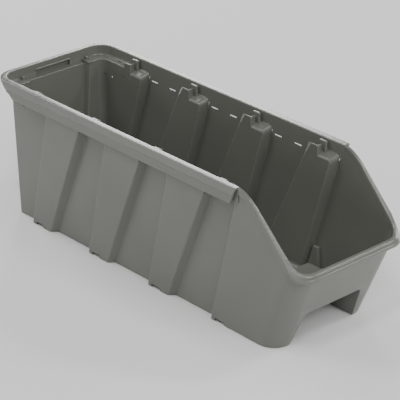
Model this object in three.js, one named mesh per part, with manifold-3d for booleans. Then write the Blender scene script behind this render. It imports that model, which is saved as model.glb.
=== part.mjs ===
// Stackable open-front storage bin: one thin-walled plastic moulding, modelled as its named sections.
// Millimetres, +Z up. The open front faces -Y, the rear +Y, and the bin is symmetric about x = 0.
import * as THREE from 'three';
import { mergeVertices } from 'three/addons/utils/BufferGeometryUtils.js';
import Module from 'manifold-3d';

const wasm = await Module();
wasm.setup();

// ---- driving dimensions ----
const LENGTH = 600;
const WIDTH = 200;
const HEIGHT = 210;
const FRONT_HEIGHT = 125;
const WALL = 2.8;
const GAP = 0.3;

// Heights.
const FLOOR_TOP = 18;
const PANEL_TOP = 189.2;
const COLLAR_BOTTOM = 189.5;
const CORNER_LEDGE_TOP = 195;
const SEAT_TOP = 189;
const LIP_TOP = 202;
const LUG_TOP = 207.5;

// Side walls: the panels stand out, the ribs between them are set in, and both lean with height.
const PANEL_HALF_WIDTH = 84.3;
const PANEL_DRAFT = 0.0433;
const RIB_HALF_WIDTH = 75.9;
const RIB_DRAFT = 0.0206;
const PITCH = 123;
const PANEL_COUNT = 4;
const PANEL_REAR_Y = 241.9;
const PANEL_REAR_LEAN = 0.27;
const PANEL_FRONT_Y = 202.7;
const PANEL_FRONT_LEAN = 0.436;
const REAR_STEP = 4.8;
const FRONT_STEP = 7.1;
const SECTION_MARGIN = 3;

// Rear wall: a centre panel between two rounded corners.
const REAR_CORNER_Y = 279;
const REAR_CORNER_DRAFT = 0.005;
const REAR_PANEL_DEPTH = 8.5;
const REAR_PANEL_HALF_WIDTH = 38;
const REAR_PANEL_FLARE = 0.072;
const REAR_PANEL_SLANT = 4;
const REAR_CORNER_RADIUS = 13;
const FIN_REAR_Y = 280.2;
const FIN_LEAN = 0.022;

// Front wall and its arch.
const FRONT_Y = -241.8;
const FRONT_LEAN = 0.41;
const FRONT_CORNER_RADIUS = 26;
const ARCH_HALF_TOP = 50.2;
const ARCH_HALF_BOTTOM = 56.3;
const ARCH_HEIGHT = 49.2;
const ARCH_CORNER = 6;
const TUNNEL_BACK_Y = -171;
const LEG_INNER_X = 62;

// Rim, collar and stacking rails.
const COLLAR_HALF_WIDTH = 93.5;
const COLLAR_REAR_Y = 296.5;
const COLLAR_WALL = 3.3;
const COLLAR_CORNER_RADIUS = 26;
const SLOPE_START_Y = -199.5;
const SLOPE_END_Y = -284.5;
const RIM_ROUNDING = 22;
const RIM_DEPTH = 8;
const RIM_HALF_WIDTH = 95.5;
const RIM_CORNER_RADIUS = 30;
const RAIL_REAR_Y = 280;
const RAIL_FRONT_Y = -186;
const RAIL_END_SLANT = 11;
const RAIL_REAR_SLANT = 24;
const RAIL_LOW = 185.5;

// Where the level sections on top of the walls begin and end.
const COLLAR_FRONT_Y = RAIL_FRONT_Y;
const LEDGE_FRONT_Y = 230;

const ARC_STEPS = 6;
const TALL = 215;
const FAR = 400;

// ---- materials ----
const GREY = 0x76766f;
const DARKER = 0x6c6c66;
const LIGHTER = 0x82827b;
function plastic(colour, roughness) {
  return new THREE.MeshStandardMaterial({ color: colour, roughness, metalness: 0 });
}

// ---- small geometry helpers ----
function toSolid(geometry) {
  const bare = geometry.clone();
  bare.deleteAttribute('normal');
  bare.deleteAttribute('uv');
  const merged = mergeVertices(bare, 1e-4);
  return new wasm.Manifold(new wasm.Mesh({
    numProp: 3,
    vertProperties: new Float32Array(merged.attributes.position.array),
    triVerts: new Uint32Array(merged.index.array),
  }));
}

// A box between two corners.
function box(low, high) {
  const geometry = new THREE.BoxGeometry(high[0] - low[0], high[1] - low[1], high[2] - low[2]);
  geometry.translate((low[0] + high[0]) / 2, (low[1] + high[1]) / 2, (low[2] + high[2]) / 2);
  return toSolid(geometry);
}

// An outline drawn in (y, z) and swept along x.
function prismX(points, x0, x1) {
  const shape = new THREE.Shape(points.map(([y, z]) => new THREE.Vector2(y, z)));
  const geometry = new THREE.ExtrudeGeometry(shape, { depth: x1 - x0, bevelEnabled: false });
  const turn = new THREE.Matrix4().set(0, 0, 1, x0, 1, 0, 0, 0, 0, 1, 0, 0, 0, 0, 0, 1);
  geometry.applyMatrix4(turn);
  return toSolid(geometry);
}

// An outline drawn in (x, z) and swept along y.
function prismY(points, y0, y1) {
  const shape = new THREE.Shape(points.map(([x, z]) => new THREE.Vector2(x, z)));
  const geometry = new THREE.ExtrudeGeometry(shape, { depth: y1 - y0, bevelEnabled: false });
  geometry.rotateX(Math.PI / 2);
  geometry.translate(0, y1, 0);
  return toSolid(geometry);
}

// A solid between two outlines with the same number of points, one at each height.
function loft(bottom, top, z0, z1) {
  const shape = new THREE.Shape(bottom.map(([x, y]) => new THREE.Vector2(x, y)));
  const geometry = new THREE.ExtrudeGeometry(shape, { depth: 1, bevelEnabled: false });
  const position = geometry.attributes.position;
  for (let i = 0; i < position.count; i += 1) {
    const x = position.getX(i);
    const y = position.getY(i);
    const match = bottom.findIndex(([bx, by]) => Math.hypot(bx - x, by - y) < 1e-3);
    const isTop = position.getZ(i) > 0.5;
    const [nx, ny] = isTop ? top[match] : bottom[match];
    position.setXYZ(i, nx, ny, isTop ? z1 : z0);
  }
  return toSolid(geometry);
}

// Moves every edge of a counter-clockwise outline inwards by a distance (outwards if negative).
function inset(points, distance) {
  return points.map((point, i) => {
    const before = points[(i + points.length - 1) % points.length];
    const after = points[(i + 1) % points.length];
    const a = edgeNormal(before, point);
    const b = edgeNormal(point, after);
    const scale = distance / (1 + a[0] * b[0] + a[1] * b[1]);
    return [point[0] + (a[0] + b[0]) * scale, point[1] + (a[1] + b[1]) * scale];
  });
}

function edgeNormal([x0, y0], [x1, y1]) {
  const length = Math.hypot(x1 - x0, y1 - y0);
  return [-(y1 - y0) / length, (x1 - x0) / length];
}

function arc(cx, cy, radius, fromDegrees, toDegrees) {
  const curve = new THREE.Path();
  curve.absarc(cx, cy, radius, fromDegrees * Math.PI / 180, toDegrees * Math.PI / 180, false);
  return curve.getPoints(ARC_STEPS).map((p) => [p.x, p.y]);
}

// Completes a half outline, given on the +x side from front to rear, with its mirror image.
function mirrored(half) {
  const other = half.map(([x, y]) => [-x, y]).reverse();
  return [...half, ...other];
}

// ---- the wall outline at any height ----
const panelX = (z) => PANEL_HALF_WIDTH + PANEL_DRAFT * z;
const ribX = (z) => RIB_HALF_WIDTH + RIB_DRAFT * z;
const panelRearY = (k, z) => PANEL_REAR_Y - PITCH * k - PANEL_REAR_LEAN * z;
const panelFrontY = (k, z) => PANEL_FRONT_Y - PITCH * k - PANEL_FRONT_LEAN * z;
const frontY = (z) => FRONT_Y - FRONT_LEAN * z;
const rearCornerY = (z) => REAR_CORNER_Y + REAR_CORNER_DRAFT * z;
const rearPanelX = (z) => REAR_PANEL_HALF_WIDTH + REAR_PANEL_FLARE * z;

function wallOutline(z) {
  const outer = panelX(z);
  const inner = ribX(z);
  const r = FRONT_CORNER_RADIUS;
  const half = arc(outer - r, frontY(z) + r, r, -90, 0);
  for (let k = PANEL_COUNT - 1; k >= 0; k -= 1) {
    if (k < PANEL_COUNT - 1) {
      half.push([inner, panelFrontY(k, z) - FRONT_STEP], [outer, panelFrontY(k, z)]);
    }
    half.push([outer, panelRearY(k, z)], [inner, panelRearY(k, z) + REAR_STEP]);
  }
  const q = REAR_CORNER_RADIUS;
  half.push(...arc(inner - q, rearCornerY(z) - q, q, 0, 90));
  half.push([rearPanelX(z) + REAR_PANEL_SLANT, rearCornerY(z)]);
  half.push([rearPanelX(z), rearCornerY(z) + REAR_PANEL_DEPTH]);
  return mirrored(half);
}

function collarOutline() {
  const r = COLLAR_CORNER_RADIUS;
  const half = [[COLLAR_HALF_WIDTH, -FAR]];
  half.push(...arc(COLLAR_HALF_WIDTH - r, COLLAR_REAR_Y - r, r, 0, 90));
  return mirrored(half);
}

function wallSolid(distance, z0, z1) {
  return loft(inset(wallOutline(z0), distance), inset(wallOutline(z1), distance), z0, z1);
}

function collarSolid(distance, z0, z1) {
  const outline = inset(collarOutline(), distance);
  return loft(outline, outline, z0, z1);
}

// ---- the side profile of the rim: level, down the slope, then level along the front ----
function rimCurve() {
  const path = new THREE.Path();
  const run = SLOPE_START_Y - SLOPE_END_Y;
  const fall = HEIGHT - FRONT_HEIGHT;
  const slope = Math.hypot(run, fall);
  const dy = -run / slope * RIM_ROUNDING;
  const dz = -fall / slope * RIM_ROUNDING;
  path.moveTo(FAR, HEIGHT);
  path.lineTo(SLOPE_START_Y + RIM_ROUNDING, HEIGHT);
  path.quadraticCurveTo(SLOPE_START_Y, HEIGHT, SLOPE_START_Y + dy, HEIGHT + dz);
  path.lineTo(SLOPE_END_Y, FRONT_HEIGHT);
  path.lineTo(-FAR, FRONT_HEIGHT);
  return path.getPoints(ARC_STEPS).map((p) => [p.x, p.y]);
}

// Everything below the rim curve, lowered square to the curve by a depth.
function belowRim(depth) {
  const outline = [...rimCurve(), [-FAR, -10], [FAR, -10]];
  return prismX(inset(outline, depth), -FAR, FAR);
}

// ---- section cutters ----
// A block on one side (+1 or -1) between two leaning lines given as functions of height.
function sideRegion(side, frontLine, rearLine, z0, z1) {
  const points = [[frontLine(z0), z0], [rearLine(z0), z0], [rearLine(z1), z1], [frontLine(z1), z1]];
  const x0 = side > 0 ? LEG_INNER_X : -FAR;
  const x1 = side > 0 ? FAR : -LEG_INNER_X;
  return prismX(points, x0, x1);
}

const legLine = (z) => frontY(z) + FRONT_CORNER_RADIUS + SECTION_MARGIN;
const panelFrontCut = (k) => (z) => (k === PANEL_COUNT - 1
  ? legLine(z) + GAP / 2
  : panelFrontY(k, z) + SECTION_MARGIN + GAP / 2);
const panelRearCut = (k) => (z) => panelRearY(k, z) - SECTION_MARGIN - GAP / 2;
const ribFrontCut = (k) => (z) => panelRearY(k, z) - SECTION_MARGIN + GAP / 2;
const ribRearCut = (k) => (z) => panelFrontY(k - 1, z) + SECTION_MARGIN - GAP / 2;

// ---- shell sections ----
const shell = wallSolid(0, 0, TALL)
  .subtract(wallSolid(WALL, -1, TALL + 1))
  .intersect(belowRim(RIM_DEPTH + GAP));

function panel(side, k) {
  const top = k === PANEL_COUNT - 1 ? TALL : PANEL_TOP;
  const region = sideRegion(side, panelFrontCut(k), panelRearCut(k), 0, top);
  let solid = shell.intersect(region);
  solid = solid.subtract(stackingNotch(side, k));
  if (k < PANEL_COUNT - 1) solid = solid.subtract(viewSlots(side, k));
  if (k === PANEL_COUNT - 1) solid = solid.subtract(collarClearance());
  return solid;
}

// The last panel runs up past the collar's lower edge in front of the collar only.
function collarClearance() {
  return box([-FAR, COLLAR_FRONT_Y, COLLAR_BOTTOM - GAP], [FAR, FAR, TALL + 1]);
}

const NOTCH_LENGTH = 17;
const NOTCH_HEIGHT = 5;
const NOTCH_SETBACK = 8;
function stackingNotch(side, k) {
  const rear = panelRearY(k, 0) - NOTCH_SETBACK;
  const low = [side > 0 ? PANEL_HALF_WIDTH - 8 : -PANEL_HALF_WIDTH - 8, rear - NOTCH_LENGTH, -1];
  return box(low, [low[0] + 16, rear, NOTCH_HEIGHT]);
}

const SLOT_LENGTH = 15;
const SLOT_PITCH = 37;
const SLOT_LOW = 182.3;
const SLOT_HIGH = 185;
const SLOT_SHIFT = 3;
function viewSlots(side, k) {
  const middle = (panelFrontY(k, SLOT_LOW) + panelRearY(k, SLOT_LOW)) / 2 + SLOT_SHIFT;
  const x0 = side > 0 ? PANEL_HALF_WIDTH - 4 : -PANEL_HALF_WIDTH - 12;
  const slots = [-1, 1].map((end) => {
    const centre = middle + end * SLOT_PITCH / 2;
    return box([x0, centre - SLOT_LENGTH / 2, SLOT_LOW], [x0 + 16, centre + SLOT_LENGTH / 2, SLOT_HIGH]);
  });
  return slots[0].add(slots[1]);
}

function rib(side, k) {
  return shell.intersect(sideRegion(side, ribFrontCut(k), ribRearCut(k), 0, SEAT_TOP - WALL));
}

const FIN_ROOT = 12;
const CORNER_SLOT = { length: 4, height: 2.4, low: 171 };
const CORNER_SLOT_Y = [257.5, 270.5];

// The corner runs from the first panel round to the rear centre panel, and carries a fin behind it.
function rearCorner(side) {
  const sideCut = sideRegion(side, ribFrontCut(0), () => FAR, 0, CORNER_LEDGE_TOP - WALL - GAP);
  const aside = rearPanelRegion(SECTION_MARGIN + GAP / 2, TALL);
  const x0 = side > 0 ? 0 : -LEG_INNER_X;
  const behind = box([x0, REAR_CORNER_Y - 60, 0], [x0 + LEG_INNER_X, FAR, CORNER_LEDGE_TOP - WALL - GAP]);
  const corner = shell.intersect(sideCut.add(behind)).subtract(aside).subtract(cornerSeatRoom());
  return corner.add(rearFin(side)).subtract(cornerSlots(side));
}

// The side wall carried on past the corner, up to the underside of the collar.
function rearFin(side) {
  const section = (z) => {
    const rear = FIN_REAR_Y + FIN_LEAN * z;
    return [[ribX(z) - WALL, REAR_CORNER_Y - FIN_ROOT], [ribX(z), REAR_CORNER_Y - FIN_ROOT],
      [ribX(z), rear], [ribX(z) - WALL, rear]];
  };
  const top = COLLAR_BOTTOM - GAP;
  const fin = loft(section(0), section(top), 0, top).subtract(wallSolid(WALL, -1, TALL));
  return side > 0 ? fin : fin.mirror([1, 0, 0]);
}

// Two small vents high in the side of the corner.
function cornerSlots(side) {
  const x = side > 0 ? ribX(CORNER_SLOT.low) - 2 * WALL : -ribX(CORNER_SLOT.low) - WALL;
  const slots = CORNER_SLOT_Y.map((middle) => box(
    [x, middle - CORNER_SLOT.length / 2, CORNER_SLOT.low],
    [x + 3 * WALL, middle + CORNER_SLOT.length / 2, CORNER_SLOT.low + CORNER_SLOT.height],
  ));
  return slots[0].add(slots[1]);
}

// Room above the corner's front end, where its seat sits lower than its ledge.
function cornerSeatRoom() {
  return box([-FAR, -FAR, SEAT_TOP - WALL], [FAR, LEDGE_FRONT_Y, TALL]);
}

function rearPanelRegion(margin, top) {
  const half = [[rearPanelX(0) + REAR_PANEL_SLANT + margin, 0],
    [rearPanelX(top) + REAR_PANEL_SLANT + margin, top]];
  const outline = [[-half[0][0], -1], [half[0][0], -1], [half[1][0], top], [-half[1][0], top]];
  return prismY(outline, REAR_CORNER_Y - 30, FAR);
}

function rearPanel() {
  return shell.intersect(rearPanelRegion(SECTION_MARGIN - GAP / 2, PANEL_TOP));
}

function frontLeg(side) {
  const cut = sideRegion(side, () => -FAR, (z) => legLine(z) - GAP / 2, 0, TALL);
  return shell.intersect(cut);
}

function archOutline(grow) {
  const outline = [[-ARCH_HALF_BOTTOM, -20], [ARCH_HALF_BOTTOM, -20]];
  const top = ARCH_HEIGHT;
  const side = ARCH_HALF_TOP;
  outline.push([ARCH_HALF_BOTTOM, 0]);
  outline.push(...arc(side - ARCH_CORNER, top - ARCH_CORNER, ARCH_CORNER, 0, 90));
  outline.push(...arc(ARCH_CORNER - side, top - ARCH_CORNER, ARCH_CORNER, 90, 180));
  outline.push([-ARCH_HALF_BOTTOM, 0]);
  return inset(outline, -grow);
}

function archPrism(grow, back) {
  return prismY(archOutline(grow), -FAR, back);
}

function frontWall() {
  const cut = box([-LEG_INNER_X + GAP, -FAR, -1], [LEG_INNER_X - GAP, SLOPE_START_Y, TALL]);
  return shell.intersect(cut).subtract(archPrism(0, 0));
}

// The tunnel behind the arch, open in front and below.
function archTunnel() {
  const room = wallSolid(WALL + GAP, 0, TALL);
  const body = archPrism(WALL, TUNNEL_BACK_Y + WALL).subtract(archPrism(0, TUNNEL_BACK_Y));
  return body.intersect(room);
}

function floorPlate() {
  const room = wallSolid(WALL + GAP, 0, TALL);
  const slab = box([-FAR, -FAR, FLOOR_TOP - WALL], [FAR, FAR, FLOOR_TOP]);
  return room.intersect(slab).subtract(archPrism(WALL + GAP, TUNNEL_BACK_Y + WALL + GAP));
}

// ---- collar: the plain band above the ledges ----
const COLLAR_SIDE_REAR_Y = COLLAR_REAR_Y - COLLAR_CORNER_RADIUS - 3;
const collar = collarSolid(0, COLLAR_BOTTOM, HEIGHT).subtract(collarSolid(COLLAR_WALL, 0, TALL));

function sideCollar(side) {
  const x0 = side > 0 ? 60 : -FAR;
  const x1 = side > 0 ? FAR : -60;
  return collar.intersect(box([x0, COLLAR_FRONT_Y + GAP, 0], [x1, COLLAR_SIDE_REAR_Y - GAP, TALL]));
}

const GRIP_HALF_WIDTH = 30;
const GRIP_LOW = 192.5;
const GRIP_HIGH = 201;
function rearCollar() {
  const part = collar.intersect(box([-FAR, COLLAR_SIDE_REAR_Y, 0], [FAR, FAR, TALL]));
  return part.subtract(box([-GRIP_HALF_WIDTH, REAR_CORNER_Y, GRIP_LOW], [GRIP_HALF_WIDTH, FAR, GRIP_HIGH]));
}

const REAR_RIM_HEIGHT = 6;
const REAR_RIM_RADIUS = 28;
function rearRim() {
  const r = REAR_RIM_RADIUS;
  const half = [[WIDTH / 2, -FAR], ...arc(WIDTH / 2 - r, LENGTH / 2 - r, r, 0, 90)];
  const outline = mirrored(half);
  const z0 = HEIGHT - REAR_RIM_HEIGHT;
  const ring = loft(outline, outline, z0, HEIGHT).subtract(collarSolid(-GAP, 0, TALL));
  return ring.intersect(box([-FAR, RAIL_REAR_Y + GAP, 0], [FAR, FAR, TALL]));
}

const LIP_HALF_WIDTH = 33;
const LIP_LOW = 180;
function rearGripLip() {
  const z1 = HEIGHT - REAR_RIM_HEIGHT - GAP;
  return box([-LIP_HALF_WIDTH, COLLAR_REAR_Y + GAP, LIP_LOW], [LIP_HALF_WIDTH, LENGTH / 2, z1]);
}

// ---- ledges: level strips between the walls below and the collar above ----
function ledgeRing(z0, z1) {
  const inside = wallSolid(WALL, 0, TALL);
  return collarSolid(COLLAR_WALL + GAP, z0, z1).subtract(inside);
}

function rearLedge() {
  const x = rearPanelX(PANEL_TOP) - GAP;
  return ledgeRing(COLLAR_BOTTOM, COLLAR_BOTTOM + WALL)
    .intersect(box([-x, REAR_CORNER_Y, 0], [x, FAR, TALL]));
}

const DRAIN_HOLE = { y: 251, length: 8, x0: 84.5, x1: 89 };
function cornerLedge(side) {
  const z1 = CORNER_LEDGE_TOP;
  const x = rearPanelX(PANEL_TOP) + GAP;
  const x0 = side > 0 ? x : -FAR;
  const ring = ledgeRing(z1 - WALL, z1)
    .intersect(box([x0, LEDGE_FRONT_Y + GAP, 0], [side > 0 ? FAR : -x, FAR, TALL]));
  const a = side > 0 ? DRAIN_HOLE.x0 : -DRAIN_HOLE.x1;
  const width = DRAIN_HOLE.x1 - DRAIN_HOLE.x0;
  const reach = DRAIN_HOLE.length / 2;
  return ring.subtract(box([a, DRAIN_HOLE.y - reach, 0], [a + width, DRAIN_HOLE.y + reach, TALL]));
}

// ---- seats: the rib tops that carry the next bin ----
const SEAT_INNER_X = 77.2;
const SEAT_OUTER_X = COLLAR_HALF_WIDTH - COLLAR_WALL - GAP;
const SEAT_FRONT_Y = 196.5;
const SEAT_FRONT_SKEW = 5;
const RISER_Y = 216.7;
const STEP_REAR_Y = 228.8;
const CHAMFER_FOOT_Y = 236.5;
const LIP_WALL = 2.4;
const POCKET_FLOOR = 191.5;
function seat(side, k) {
  const isCorner = k === 0;
  const low = SEAT_TOP - WALL + GAP;
  const foot = isCorner ? LEDGE_FRONT_Y : CHAMFER_FOOT_Y;
  const top = isCorner ? LEDGE_FRONT_Y : STEP_REAR_Y;
  const front = SEAT_FRONT_Y - SEAT_FRONT_SKEW;
  const profile = [[front, low], [foot, low], [foot, SEAT_TOP], [top, LIP_TOP],
    [RISER_Y, LIP_TOP], [RISER_Y, SEAT_TOP], [front, SEAT_TOP]];
  const body = prismX(profile, SEAT_INNER_X, SEAT_OUTER_X).intersect(seatPlan());
  const pocket = box([SEAT_INNER_X + LIP_WALL, RISER_Y + LIP_WALL, POCKET_FLOOR], [FAR, FAR, TALL]);
  const solid = body.subtract(pocket).subtract(lugRoom()).translate([0, -PITCH * k, 0]);
  return side > 0 ? solid : solid.mirror([1, 0, 0]);
}

// The seat seen from above: its front edge runs forward as it nears the side wall.
function seatPlan() {
  const plan = [[SEAT_INNER_X, SEAT_FRONT_Y], [SEAT_OUTER_X, SEAT_FRONT_Y - SEAT_FRONT_SKEW],
    [SEAT_OUTER_X, CHAMFER_FOOT_Y], [SEAT_INNER_X, CHAMFER_FOOT_Y]];
  return loft(plan, plan, 0, TALL);
}

const LUG = { x0: 84.8, x1: 88.8, y0: 210, y1: 222.6 };
function lug(side, k) {
  return box([side > 0 ? LUG.x0 : -LUG.x1, LUG.y0 - PITCH * k, POCKET_FLOOR + GAP],
    [side > 0 ? LUG.x1 : -LUG.x0, LUG.y1 - PITCH * k, LUG_TOP]);
}

// The room a seat leaves round its lug.
function lugRoom() {
  return box([LUG.x0 - GAP, LUG.y0 - GAP, POCKET_FLOOR], [LUG.x1 + GAP, LUG.y1 + GAP, TALL]);
}

// A small upright lug at each end of the rear ledge.
const REAR_LUG = { x0: 54.5, x1: 58.5, y0: 286, y1: 290, top: 200 };
function rearLug(side) {
  return box([side > 0 ? REAR_LUG.x0 : -REAR_LUG.x1, REAR_LUG.y0, CORNER_LEDGE_TOP + GAP],
    [side > 0 ? REAR_LUG.x1 : -REAR_LUG.x0, REAR_LUG.y1, REAR_LUG.top]);
}

// ---- rim bead down the slope and along the front ----
const RIM_FRONT_X = 58;
const RIM_BAND_LOW = 60;
function rimOutline() {
  const r = RIM_CORNER_RADIUS;
  const half = [...arc(RIM_HALF_WIDTH - r, r - LENGTH / 2, r, -90, 0), [RIM_HALF_WIDTH, FAR]];
  return mirrored(half);
}

function rimBand() {
  const outline = rimOutline();
  const ring = loft(outline, outline, RIM_BAND_LOW, TALL).subtract(wallSolid(WALL, -1, TALL + 1));
  const band = belowRim(0).subtract(belowRim(RIM_DEPTH));
  return ring.intersect(band).intersect(box([-FAR, -FAR, 0], [FAR, RAIL_FRONT_Y - GAP, TALL]));
}
const rim = rimBand();

function slopeRim(side) {
  const x0 = side > 0 ? RIM_FRONT_X + GAP : -FAR;
  return rim.intersect(box([x0, -FAR, 0], [side > 0 ? FAR : -RIM_FRONT_X - GAP, FAR, TALL]));
}

function frontRim() {
  return rim.intersect(box([-RIM_FRONT_X, -FAR, 0], [RIM_FRONT_X, FAR, TALL]));
}

// ---- side rails: hollow flanges hung from the rim, stepped in a little below the middle ----
const RAIL_SKIN = 2.4;
const RAIL_TOP_WALL = 3;
const RAIL_MID = 199;
const RAIL_STEP = 1.2;
const RAIL_CHAMFER = 1;
function railProfile() {
  const outer = WIDTH / 2;
  const lower = outer - RAIL_STEP;
  const root = COLLAR_HALF_WIDTH + GAP;
  const ceiling = HEIGHT - RAIL_TOP_WALL;
  return [[root, HEIGHT], [outer - RAIL_CHAMFER, HEIGHT], [outer, HEIGHT - RAIL_CHAMFER], [outer, RAIL_MID],
    [lower, RAIL_MID - RAIL_STEP], [lower, RAIL_LOW + RAIL_CHAMFER], [lower - RAIL_CHAMFER, RAIL_LOW],
    [lower - RAIL_SKIN, RAIL_LOW], [lower - RAIL_SKIN, RAIL_MID - RAIL_STEP],
    [outer - RAIL_SKIN, RAIL_MID], [outer - RAIL_SKIN, ceiling], [root, ceiling]];
}

function rail(side) {
  const low = RAIL_LOW - RAIL_CHAMFER;
  const tailTop = HEIGHT - REAR_RIM_HEIGHT;
  const bar = prismY(railProfile(), RAIL_FRONT_Y, RAIL_REAR_Y);
  const endFoot = RAIL_FRONT_Y + RAIL_END_SLANT;
  const end = [[RAIL_FRONT_Y, HEIGHT + 1], [endFoot, low], [-FAR, low], [-FAR, HEIGHT + 1]];
  const tail = [[RAIL_REAR_Y, tailTop], [RAIL_REAR_Y - RAIL_REAR_SLANT, low], [FAR, low], [FAR, tailTop]];
  const solid = bar.subtract(prismX(end, -FAR, FAR)).subtract(prismX(tail, -FAR, FAR));
  return side > 0 ? solid : solid.mirror([1, 0, 0]);
}

// ---- base pads: shallow blocks at the foot of the last ribs ----
const PAD = { foot: -160, front: -155, rear: -100, top: 56, depth: 4.5, toStep: 4.3 };
function basePad(side) {
  const k = PANEL_COUNT - 1;
  const low = FLOOR_TOP + GAP;
  const profile = [[PAD.foot, low], [PAD.rear, low], [PAD.rear, PAD.top], [PAD.front, PAD.top]];
  const block = prismX(profile, LEG_INNER_X, WIDTH / 2);
  const ring = wallSolid(WALL + GAP, 0, TALL).subtract(wallSolid(WALL + PAD.depth, -1, TALL + 1));
  const front = sideRegion(1, () => -FAR, (z) => panelRearY(k, z) - PAD.toStep, 0, TALL);
  const solid = block.intersect(ring).intersect(front);
  return side > 0 ? solid : solid.mirror([1, 0, 0]);
}

// ---- assembly ----
const bin = new THREE.Group();

function addSection(name, solid, colour = GREY, roughness = 0.5) {
  const mesh = solid.getMesh();
  const geometry = new THREE.BufferGeometry();
  geometry.setAttribute('position', new THREE.BufferAttribute(mesh.vertProperties, 3));
  geometry.setIndex(new THREE.BufferAttribute(mesh.triVerts, 1));
  geometry.computeVertexNormals();
  const section = new THREE.Mesh(geometry, plastic(colour, roughness));
  section.name = name;
  bin.add(section);
}

addSection('floor_plate', floorPlate(), DARKER, 0.55);
addSection('arch_tunnel', archTunnel(), DARKER, 0.55);
addSection('front_wall', frontWall());
addSection('rear_panel', rearPanel());
addSection('rear_collar', rearCollar());
addSection('rear_rim', rearRim(), LIGHTER, 0.42);
addSection('rear_ledge', rearLedge());
addSection('rear_grip_lip', rearGripLip());
addSection('front_rim', frontRim(), LIGHTER, 0.42);
for (const [hand, side] of [['left', -1], ['right', 1]]) {
  addSection(`${hand}_front_leg`, frontLeg(side));
  addSection(`${hand}_rear_corner`, rearCorner(side));
  addSection(`${hand}_corner_ledge`, cornerLedge(side));
  addSection(`${hand}_collar`, sideCollar(side));
  addSection(`${hand}_stacking_rail`, rail(side), LIGHTER, 0.42);
  addSection(`${hand}_slope_rim`, slopeRim(side), LIGHTER, 0.42);
  addSection(`${hand}_base_pad`, basePad(side), DARKER, 0.55);
  addSection(`${hand}_rear_lug`, rearLug(side), LIGHTER, 0.42);
  for (let k = 0; k < PANEL_COUNT; k += 1) {
    addSection(`${hand}_panel_${k + 1}`, panel(side, k));
    if (k > 0) addSection(`${hand}_rib_${k}`, rib(side, k), DARKER);
    addSection(`${hand}_seat_${k}`, seat(side, k), LIGHTER, 0.42);
    addSection(`${hand}_lug_${k}`, lug(side, k), LIGHTER, 0.42);
  }
}

export default bin;
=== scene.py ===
"""Looks of the stackable open-front storage bin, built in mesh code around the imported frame.

Lengths below are millimetres in the frame's own axes; MM turns them into metres when a mesh is made.
Each section is drawn once on the +x side and mirrored for the other side.
"""
import math

import bmesh
import bpy
from mathutils import Matrix, Vector


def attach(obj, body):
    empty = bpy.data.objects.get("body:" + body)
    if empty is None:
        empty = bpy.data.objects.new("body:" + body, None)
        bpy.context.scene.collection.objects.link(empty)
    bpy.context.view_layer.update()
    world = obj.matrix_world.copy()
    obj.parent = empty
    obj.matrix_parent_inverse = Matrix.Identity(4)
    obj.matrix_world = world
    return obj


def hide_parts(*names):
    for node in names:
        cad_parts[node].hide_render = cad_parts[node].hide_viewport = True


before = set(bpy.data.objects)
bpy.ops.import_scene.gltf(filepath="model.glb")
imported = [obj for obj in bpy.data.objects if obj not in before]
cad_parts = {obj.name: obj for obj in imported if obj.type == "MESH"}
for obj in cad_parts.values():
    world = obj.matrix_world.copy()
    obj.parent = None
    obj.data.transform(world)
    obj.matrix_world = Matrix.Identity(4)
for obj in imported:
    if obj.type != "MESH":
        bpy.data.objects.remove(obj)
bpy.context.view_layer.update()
MM = 0.001

# ---- the whole bin ----
HALF_LENGTH = 300
HALF_WIDTH = 100
HEIGHT = 210
FRONT_HEIGHT = 125
WALL = 2.8
FLOOR_TOP = 18

# ---- lines of the leaning walls: value at the base, change per millimetre of height ----
PANEL_X = (84.3, 0.0433)
RIB_X = (75.9, 0.0206)
PANEL_REAR_Y = (241.9, -0.27)
PANEL_FRONT_Y = (202.7, -0.436)
FRONT_Y = (-241.8, -0.41)
REAR_CORNER_Y = (279, 0.005)
REAR_PANEL_X = (38, 0.072)

# ---- panels and ribs ----
PANEL_COUNT = 4
PITCH = 123
PANEL_TOP = 189.2
PANEL_STEP_REAR = 4.8
PANEL_STEP_FRONT = 7.1
FRONT_CORNER = 26
REAR_CORNER = 13
REAR_PANEL_LINE = 275
REAR_PANEL_DEPTH = 8.5
REAR_PANEL_SLANT = 4
REAR_PANEL_TOP = 190.4
STEP_BLOCK = 5
STEP_TOP = 192.25
STEP_REACH = 4
RIB_TOP = 178
CORNER_TOP = 193
FIN_REAR = (280.2, 0.022)

# ---- softness of the moulding ----
OUTER_EDGE = 3.0
INNER_EDGE = 2.6
HOLLOW_EDGE = 1.6
ARC_STEPS = 4
CORNER_STEPS = 14
REAR_CORNER_STEPS = 20
SMALL_STEPS = 6
FLAT_FRONT_COLUMNS = 6
LEG_COLUMNS = 30
FIN_ROWS = 8
ROWS_UP = [0.12, 0.3, 0.5, 0.7, 0.88, 1.0]
SOFT_STEPS = 3
SOFT_ANGLE = 40
SMOOTH_ANGLE = 32
RIM_SMOOTH_ANGLE = 50
SEAT_SMOOTH_ANGLE = 40
# The gap between two columns that stand in for a sudden step, and how far a cutter sticks out.
HAIR = 0.02
REACH = 30
# How far hidden ends run on into the next piece, and the slack when columns are told apart.
OVERLAP = 1
SLACK = 0.5
# Points closer than this many metres are joined.
WELD = 1e-6

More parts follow.
